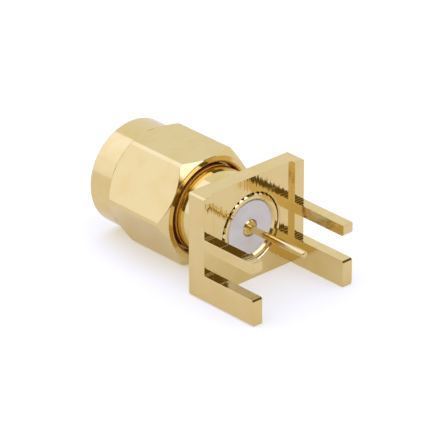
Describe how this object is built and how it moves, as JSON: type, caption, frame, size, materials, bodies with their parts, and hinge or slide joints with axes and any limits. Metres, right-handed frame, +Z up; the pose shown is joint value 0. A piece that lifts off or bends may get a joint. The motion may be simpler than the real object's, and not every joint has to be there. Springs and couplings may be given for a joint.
{
  "type": "edge-mount coaxial plug connector",
  "caption": "Gold-plated coaxial plug for a board edge: swivelling hexagonal coupling nut, rectangular flange, four legs that straddle the board, white insulator and a round tail pin.",
  "frame": {"origin": "on the plug's axis, in the mating plane, at the shoulder of the mating pin", "axes": "-Y points out of the coupling nut, the way the mating part leaves; +Y points to the board and the tail pin; +Z points up from the board face that carries the tail pin"},
  "size_m": [0.0096, 0.0182, 0.008],
  "materials": {
    "gold_plated_body": "bright gold plating over milled brass",
    "gold_plated_nut": "bright gold plating over turned brass",
    "gold_plated_contact": "bright gold plating",
    "white_insulator": "smooth waxy white",
    "red_silicone": "soft satin",
    "ring_metal": "bright spring bronze"
  },
  "bodies": {
    "plug_body": {"flange": "gold_plated_body", "barrel": "gold_plated_body", "insulator": "white_insulator", "contact": "gold_plated_contact", "gasket": "red_silicone", "retaining_ring": "ring_metal"},
    "nut": {"coupling_nut": "gold_plated_nut"}
  },
  "joints": [
    {"name": "nut_spin", "type": "hinge", "parent": "plug_body", "child": "nut", "pos_m": [0, 0.00125, 0], "axis": [0, 1, 0], "continuous": true}
  ]
}
